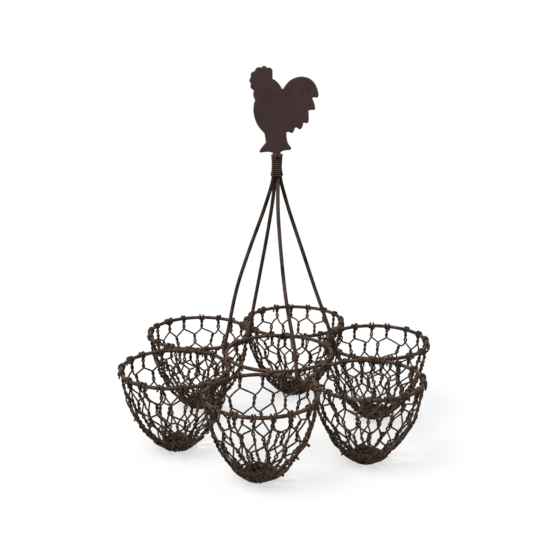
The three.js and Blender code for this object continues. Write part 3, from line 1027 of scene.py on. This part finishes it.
COURSE_STEPS = 14  # Between two stations of a stay
NECK_STEPS, TAIL_STEPS = 6, 3
STAY_EASING = 12
STAY_DENT = 0.4  # Stays are drawn straight, and are less dented than the rings
NECK_DRAW = 0.8  # How the stays close on the rooster's sheet at the bottom of the neck
CORNER_STEPS = 8
CORNERS = ((1, 1), (-1, 1), (-1, -1), (1, -1))  # Side and face of the four stays in turn
TOP_LOOSE = 0.4  # Looseness of the highest turn, against the lowest's
UNEVEN, UNEVEN_WAVES, UNEVEN_SLICE = 0.07 * MM, 1.7, 3  # The slice is the noise's own
SAG, SAG_WAVES, SAG_SLICE = 0.12 * MM, 2.3, 7


def in_bundle(x, y, z):
    """A place in the bound neck, turned into the basket's frame."""
    neck = bpy.context.scene.basket_neck
    turned = Matrix.Rotation(neck.turn, 3, "Z") @ Vector((x, y, z))
    return turned + Vector((neck.offset, 0, 0))


def smooth_course(points, steps):
    """A smooth line through points, with the same number of steps between each two."""
    line = [points[0] * 2 - points[1], *points, points[-1] * 2 - points[-2]]
    course = []
    for i in range(1, len(line) - 2):
        before, start, end, after = line[i - 1 : i + 3]
        in_gap, gap, out_gap = (
            math.sqrt((line[k + 1] - line[k]).length) for k in (i - 1, i, i + 1)
        )
        leave = (start - before) / in_gap - (end - before) / (in_gap + gap)
        leave = (leave + (end - start) / gap) * gap
        arrive = (end - start) / gap - (after - start) / (gap + out_gap)
        arrive = (arrive + (after - end) / out_gap) * gap
        for t in parts(steps)[:-1]:
            course.append(
                start
                + leave * t
                + (3 * (end - start) - 2 * leave - arrive) * t**2
                + (2 * (start - end) + leave + arrive) * t**3
            )
    return [*course, points[-1]]


def stay_path(stay):
    """Course of a stay: through the binding, out and down to the ring in one bow."""
    scene = bpy.context.scene
    neck, sizes = scene.basket_neck, scene.basket_stays

    def at(radius, angle, height):
        turn = math.radians(angle)
        lean = neck.offset * max(height, 0.0) / neck.bottom
        x, y = radius * math.cos(turn) + lean, radius * math.sin(turn)
        return Vector((x, y, height + RING_HEIGHT))

    x, y = neck.bundle_side * stay.side, neck.bundle_face * stay.face
    top = neck.bottom + neck.turns * neck.pitch + neck.overtop
    head = in_bundle(x, y, top + RING_HEIGHT)
    twisted = Matrix.Rotation(neck.twist, 3, "Z") @ Vector((x, NECK_DRAW * y, 0))
    start = in_bundle(twisted.x, twisted.y, neck.bottom + RING_HEIGHT)
    middle_radius = sizes.middle_radius * stay.spread + stay.bow * MM
    middle_turn = (stay.neck + stay.shoulder) / 2
    stations = [
        start,
        at(sizes.neck_radius * stay.spread, stay.neck, sizes.neck_height),
        at(middle_radius, middle_turn, sizes.middle_height),
        at(sizes.shoulder_radius * stay.spread, stay.shoulder, sizes.shoulder_height),
        at(sizes.foot_radius - sizes.knee_inset, stay.foot, sizes.knee_height),
        at(sizes.foot_radius, stay.foot, 0.0),
    ]
    foot, tail = stations[-1], at(sizes.foot_radius, stay.foot, -sizes.tail)
    path = [head + (start - head) * i / NECK_STEPS for i in range(NECK_STEPS)]
    path += smooth_course(stations, COURSE_STEPS)
    path += [foot + (tail - foot) * i / TAIL_STEPS for i in range(1, TAIL_STEPS + 1)]
    return eased(path, STAY_EASING)


def binding_path():
    """The winding round the four stays and the rooster's tang."""
    scene = bpy.context.scene
    neck = scene.basket_neck
    wire = scene.basket_wires.binding_wire
    clear = (scene.basket_wires.frame_wire + wire) / 2
    turn_steps = len(CORNERS) * (CORNER_STEPS + 1)
    loose_rise = neck.flared * neck.loose_pitch
    tight_pitch = (neck.turns * neck.pitch - loose_rise) / (neck.turns - neck.flared)
    path = []
    for step in range(neck.turns * turn_steps + 1):
        corner, in_corner = divmod(step % turn_steps, CORNER_STEPS + 1)
        side, face = CORNERS[corner]
        angle = (corner + in_corner / CORNER_STEPS) * math.pi / 2
        turn = step / turn_steps
        loose = max(0.0, 1 - turn / neck.flared)
        loose += TOP_LOOSE * max(0.0, turn - (neck.turns - 1))
        spot = Vector((turn * UNEVEN_WAVES, corner, UNEVEN_SLICE))
        uneven = UNEVEN * noise.noise(spot)
        drawn = neck.pinch * math.sin(math.pi * turn / neck.turns) ** 2
        reach = clear + neck.flare * loose - drawn + uneven
        sag = SAG * noise.noise(Vector((turn * SAG_WAVES, angle, SAG_SLICE)))
        slow = min(turn, neck.flared)
        rise = slow * neck.loose_pitch + (turn - slow) * tight_pitch
        height = neck.bottom + wire / 2 + rise + sag + RING_HEIGHT
        x = side * neck.bundle_side + reach * math.cos(angle)
        y = face * neck.bundle_face + reach * math.sin(angle)
        path.append(in_bundle(x, y, height))
    return path


# Rooster

SHEET_MERGE = 0.002 * MM  # Points closer than this are made one
FLAT = 0.99  # Faces whose normal points this straight out of the sheet are flat

# Outline above the tang in hundredths of the height: points, or a bend and a point
ROOSTER = (
    (-8.8, 2.4, -13.5, 1.5), (-19.6, 1), (-21, 2.3, -19.3, 4.5), (-16.3, 8.9, -12.8, 12.7),
    (-13.5, 18.3, -14.5, 23.4), (-22.8, 30.5, -25.8, 41.6), (-28.8, 52, -25.1, 61.5),
    (-28.6, 67.4, -26.3, 72.5), (-31.7, 74.1, -29.8, 80.3), (-33.1, 83.3, -29.9, 87.4),
    (-30.7, 93.3, -25.6, 94.1), (-23.1, 100.2, -18, 98.2), (-14.5, 102.3, -11, 97.7),
    (-6.4, 99.3, -4.9, 94.7), (-4.8, 85.5), (2.2, 82.1, 5.7, 74.3), (7.2, 73.8),
    (15, 87.6, 28.8, 87.5), (45.4, 86.5, 48.4, 66.5), (47.9, 63.1, 45.7, 63),
    (42.7, 64.1, 41, 62.7), (44.5, 55.3, 44.6, 49.9), (42.9, 48.9),
    (39.1, 49.7, 36.6, 48.2), (37.7, 40.7, 36.8, 35.2), (35.5, 33.1, 31, 34.8),
    (29.7, 27.1, 26.6, 27.1), (24.3, 27.9, 22.7, 29.5), (21, 28.8),
    (19.3, 22.3, 16.7, 22.8), (14.4, 24.5, 11.9, 24.3), (11.2, 23),
    (11.4, 16.3, 12.8, 11.9), (16.9, 5.8), (16.6, 3.3, 14.6, 3.3), (8.8, 3.1, 5.8, 1.8),
)


def rooster_outline(sizes):
    """The rooster's outline with its tang, as (bend or None, point) steps."""
    unit = sizes.height / 100
    half = sizes.tang_width / 2
    steps = [(None, Vector((-half, -sizes.tang_length))), (None, Vector((-half, 0)))]
    for stroke in ROOSTER:
        bend = Vector(stroke[:2]) * unit if len(stroke) == 4 else None
        steps.append((bend, Vector(stroke[-2:]) * unit))
    steps.append((None, Vector((half, 0))))
    steps.append((None, Vector((half, -sizes.tang_length))))
    return steps


def rooster_sheet(sizes):
    """The flat rooster lying on the XY plane, with worn round edges."""
    curve = bpy.data.curves.new("rooster_sheet", "CURVE")
    curve.dimensions = "2D"
    curve.fill_mode = "BOTH"
    curve.resolution_u = 10
    curve.extrude = sizes.thickness / 2 - sizes.rounding
    curve.bevel_depth = sizes.rounding
    curve.bevel_resolution = 2
    curve.offset = -sizes.rounding
    steps = rooster_outline(sizes)
    spline = curve.splines.new("BEZIER")
    spline.bezier_points.add(len(steps) - 1)
    points = spline.bezier_points
    for i, (bend, place) in enumerate(steps):
        before = steps[i - 1][1]
        points[i].co = (*place, 0)
        points[i].handle_left_type = points[i].handle_right_type = "FREE"
        reach = 2 / 3 if bend else 1 / 3
        points[i].handle_left = (*(place + ((bend or before) - place) * reach), 0)
        points[i - 1].handle_right = (*(before + ((bend or place) - before) * reach), 0)
    spline.use_cyclic_u = True
    piece = meshed("rooster_sheet", curve)
    with editing(piece):
        bpy.ops.mesh.remove_doubles(threshold=SHEET_MERGE)
        bpy.ops.mesh.normals_make_consistent(inside=False)
    return piece


def mark_edges(piece):
    """Marks the sheet's rounded edges, for the painted highlight on them."""
    mesh = piece.data
    highlight_mask = mesh.attributes.new("edge_wear", "FLOAT", "CORNER")
    for face in mesh.polygons:
        for corner in face.loop_indices:
            highlight_mask.data[corner].value = float(abs(face.normal.z) < FLAT)


# Rings and weld beads

RING_JOINT = math.radians(75)
RIM_JOINT, RIM_JOINT_STEP = 40, 17  # Degrees round from the cup's own direction
JOINT_REACH = 1.9 * MM
JOINT_SWELL = 0.16 * MM
BEAD_DROP = Vector((0, 0, -0.75 * MM))  # A cup's beads sit low between the wires
CUP_BEAD = Vector((1.75, 2.7, 1.35)) * MM
STAY_BEAD = Vector((1.5, 1.5, 1.6)) * MM
TANG_BEAD = Vector((2.9, 2.6, 1.5)) * MM
BEAD_DENT_SIZE, BEAD_DENT_STEP = 1.1 * MM, 0.02 * MM  # The step makes each bead its own
BEAD_DENT = 0.55 * MM


def bead(name, place, turn, sizes, seed):
    """A lump of weld over touching wires."""
    piece = added(
        name, bpy.ops.mesh.primitive_ico_sphere_add,
        subdivisions=4, radius=1, location=place, rotation=(0, 0, turn),
    )
    piece.scale = sizes
    settle(piece)
    roughen(piece, BEAD_DENT_SIZE + BEAD_DENT_STEP * seed, BEAD_DENT)
    return piece


def loop_piece(name, centre, radius, joint):
    """A closed loop of frame wire with the swelling where its ends were joined."""
    wires = bpy.context.scene.basket_wires
    piece = added(
        name, bpy.ops.mesh.primitive_torus_add,
        location=centre, major_radius=radius, minor_radius=wires.frame_wire / 2,
        major_segments=180, minor_segments=12,
    )
    settle(piece)
    place = centre + directions(joint)[0] * radius
    with editing(piece, "DESELECT"):
        shell = bmesh.from_edit_mesh(piece.data)
        for vertex in shell.verts:
            vertex.select_set((vertex.co - place).length < JOINT_REACH)
        shell.select_flush(True)
        bmesh.update_edit_mesh(piece.data)
        bpy.ops.transform.shrink_fatten(value=JOINT_SWELL)
    roughen(piece, DENT_SIZE, wires.unevenness)
    bpy.ops.object.shade_smooth_by_angle(angle=SMOOTH_ANGLE)
    return piece


class RingsOperator(bpy.types.Operator):
    """Makes the centre ring and the six cup rims"""

    bl_idname = "egg_basket.rings"
    bl_label = "Rings"

    def execute(self, context):
        scene = context.scene
        reach = RING_OUTSIDE - scene.basket_wires.frame_wire / 2
        ring = loop_piece("ring_wire", middle("centre_ring"), reach, RING_JOINT)
        finished(ring, "centre_ring", "frame wire paint")
        for number in CUPS:
            node = f"cup_rim_{number}"
            joint = cup_angle(number) + math.radians(RIM_JOINT + RIM_JOINT_STEP * number)
            radius = scene.basket_cups.rim_radius
            rim = loop_piece(f"rim_wire_{number}", middle(node), radius, joint)
            finished(rim, node, "frame wire paint")
        return {"FINISHED"}


class NettingOperator(bpy.types.Operator):
    """Makes the twisted netting of the six cups"""

    bl_idname = "egg_basket.netting"
    bl_label = "Netting"

    def execute(self, context):
        wire = context.scene.basket_wires.net_wire
        for number in CUPS:
            paths = netting_paths(number)
            net = wire_piece(f"net_wires_{number}", paths, wire, half_sides=4, lumps=0.12)
            finished(net, f"cup_net_{number}", "netting wire paint")
        return {"FINISHED"}


class PadsOperator(bpy.types.Operator):
    """Makes the gathered wire at the foot of each cup"""

    bl_idname = "egg_basket.pads"
    bl_label = "Pads"

    def execute(self, context):
        wire = context.scene.basket_pads.strand_wire
        for number in CUPS:
            node = f"cup_base_{number}"
            # A near-black core inside the strands: painted shade in the middle of the nest
            finished(pad_shade_core(number), node, "pad middle paint")
            paths = pad_paths(number)
            pad = wire_piece(f"pad_wires_{number}", paths, wire, half_sides=3, lumps=0.2)
            finished(pad, node, "nest wire paint")
        return {"FINISHED"}


class StaysOperator(bpy.types.Operator):
    """Makes the four stays"""

    bl_idname = "egg_basket.stays"
    bl_label = "Stays"

    def execute(self, context):
        wires = context.scene.basket_wires
        for stay in STAYS:
            paths = [stay_path(stay)]
            piece = wire_piece(f"{stay.name}_wire", paths, wires.frame_wire, half_sides=6)
            roughen(piece, DENT_SIZE, STAY_DENT * wires.unevenness)
            finished(piece, stay.name, "stay wire paint")
        return {"FINISHED"}


class WeldsOperator(bpy.types.Operator):
    """Makes the weld beads where wires touch"""

    bl_idname = "egg_basket.welds"
    bl_label = "Welds"

    def execute(self, context):
        for number in CUPS:
            outward = cup_angle(number)
            towards_next = outward + math.radians(2 * CUP_STEP)
            for kind, turn in (("rim", towards_next), ("ring", outward)):
                node = f"{kind}_weld_{number}"
                place = middle(node) + BEAD_DROP
                lump = bead(f"{kind}_bead_{number}", place, turn, CUP_BEAD, number)
                finished(lump, node, "weld under paint")
        for seed, stay in enumerate(STAYS):
            node = f"{stay.name}_weld"
            turn = math.radians(stay.foot)
            lump = bead(f"{stay.name}_bead", middle(node), turn, STAY_BEAD, seed)
            finished(lump, node, "weld under paint")
        return {"FINISHED"}


class BindingOperator(bpy.types.Operator):
    """Makes the winding round the neck"""

    bl_idname = "egg_basket.binding"
    bl_label = "Binding"

    def execute(self, context):
        wire = context.scene.basket_wires.binding_wire
        piece = wire_piece("binding_winding", [binding_path()], wire, half_sides=5)
        finished(piece, "neck_binding", "binding wire paint")
        top = in_bundle(0, 0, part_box("neck_binding")[1].z)
        lump = bead("tang_bead", top, context.scene.basket_neck.turn, TANG_BEAD, 1)
        finished(lump, "neck_binding", "weld under paint")
        return {"FINISHED"}


class RoosterOperator(bpy.types.Operator):
    """Makes the flat sheet rooster"""

    bl_idname = "egg_basket.rooster"
    bl_label = "Rooster"

    def execute(self, context):
        neck, sizes = context.scene.basket_neck, context.scene.basket_rooster
        piece = rooster_sheet(sizes)
        mark_edges(piece)
        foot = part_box("rooster_plate")[0].z + sizes.tang_length
        piece.rotation_euler = (math.pi / 2, 0, neck.turn)
        piece.location = (neck.offset, 0, foot)
        settle(piece)
        flat = piece.modifiers.new("flat faces", "WEIGHTED_NORMAL")
        flat.keep_sharp = True
        bpy.ops.object.modifier_apply(modifier=flat.name)
        finished(piece, "rooster_plate", "rooster sheet paint")
        return {"FINISHED"}


# Stage

FLOOR_SIZE = 60
CAMERA_PLACE = (0.1112, -0.7319, 0.3292)

# Name, direction that it shines from, strength, and width in degrees
LAMPS = (
    ("key_lamp", (-0.5, -0.55, 1.25), 3.5, 30),
    ("side_lamp", (0.95, -0.35, 0.75), 0.35, 50),
    ("back_lamp", (0.1, 0.95, 0.9), 0.9, 50),
)


def empty_tree(owner):
    """The node tree of a material or a world, cleared."""
    owner.use_nodes = True
    owner.node_tree.nodes.clear()
    return owner.node_tree


def shown(tree, output, plain, seen):
    """Ends a tree in a plain shader, with another for camera, reflection and glass rays."""
    rays = tree.nodes.new("ShaderNodeLightPath").outputs
    direct = rays["Is Camera Ray"]
    for name in ("Is Glossy Ray", "Is Transmission Ray"):
        direct = combined(tree, "MAXIMUM", direct, rays[name])
    pick = node_at(tree, "ShaderNodeMixShader", Fac=direct)
    feed(tree, pick.inputs[1], plain)
    feed(tree, pick.inputs[2], seen)
    node_at(tree, output, Surface=pick.outputs[0])


def floor_material(pale, extra):
    """Pale floor that shows white where no shadow falls."""
    material = bpy.data.materials.new("pale floor")
    tree = empty_tree(material)
    ground = node_at(tree, "ShaderNodeBsdfDiffuse", Color=pale).outputs[0]
    glow = node_at(tree, "ShaderNodeEmission", Color=WHITE, Strength=extra).outputs[0]
    both = tree.nodes.new("ShaderNodeAddShader")
    feed(tree, both.inputs[0], ground)
    feed(tree, both.inputs[1], glow)
    shown(tree, "ShaderNodeOutputMaterial", ground, both.outputs[0])
    return material


def white_world(ambient):
    """Even light from all round, with a white background."""
    world = bpy.data.worlds.new("white room")
    bpy.context.scene.world = world
    tree = empty_tree(world)
    light, white = (
        node_at(tree, "ShaderNodeBackground", Color=WHITE, Strength=strength).outputs[0]
        for strength in (ambient, 1.0)
    )
    shown(tree, "ShaderNodeOutputWorld", light, white)


class StageOperator(bpy.types.Operator):
    """Makes the floor, the lights and the camera"""

    bl_idname = "egg_basket.stage"
    bl_label = "Stage"

    def execute(self, context):
        stage = context.scene.basket_stage
        floor = added("floor", bpy.ops.mesh.primitive_plane_add, size=FLOOR_SIZE)
        floor.data.materials.append(floor_material(tuple(stage.floor), stage.glow))
        white_world(stage.ambient)
        for name, source, strength, width in LAMPS:
            lamp = added(name, bpy.ops.object.light_add, type="SUN", location=(0, 0, 1))
            lamp.data.energy = strength
            lamp.data.angle = math.radians(width)
            lamp.rotation_euler = Vector(source).to_track_quat("Z", "Y").to_euler()
        camera = added(
            "Camera", bpy.ops.object.camera_add, location=CAMERA_PLACE,
            rotation=(math.pi / 2 - stage.camera_fall, 0, stage.camera_turn),
        )
        camera.data.sensor_fit = "HORIZONTAL"
        camera.data.angle = stage.camera_view
        context.scene.camera = camera
        context.scene.view_settings.view_transform = "Standard"
        return {"FINISHED"}


OPERATORS = (
    RingsOperator,
    NettingOperator,
    PadsOperator,
    StaysOperator,
    WeldsOperator,
    BindingOperator,
    RoosterOperator,
    StageOperator,
)


class EGGBASKET_PT_panel(bpy.types.Panel):
    """Lists the basket's settings and the operators that make its pieces"""

    bl_label = "Egg basket"
    bl_space_type = "VIEW_3D"
    bl_region_type = "UI"
    bl_category = "Egg basket"

    def draw(self, context):
        layout = self.layout
        for operator in OPERATORS:
            layout.operator(operator.bl_idname)
        for name, group in SETTINGS.items():
            box = layout.box()
            box.label(text=group.__doc__)
            for key in group.__annotations__:
                box.prop(getattr(context.scene, name), key)


def register():
    """Adds the settings, the operators and the panel to Blender."""
    for group in SETTINGS.values():
        bpy.utils.register_class(group)
    for name, group in SETTINGS.items():
        setattr(bpy.types.Scene, name, bpy.props.PointerProperty(type=group))
    for kind in (*OPERATORS, EGGBASKET_PT_panel):
        bpy.utils.register_class(kind)


def unregister():
    """Takes them out again, in reverse."""
    for kind in (EGGBASKET_PT_panel, *reversed(OPERATORS)):
        bpy.utils.unregister_class(kind)
    for name, group in reversed(SETTINGS.items()):
        delattr(bpy.types.Scene, name)
        bpy.utils.unregister_class(group)


def main():
    """Makes the whole basket and its stage."""
    register()
    basket = bpy.ops.egg_basket
    basket.rings()
    basket.netting()
    basket.pads()
    basket.stays()
    basket.welds()
    basket.binding()
    basket.rooster()
    basket.stage()


if __name__ == "__main__":
    main()
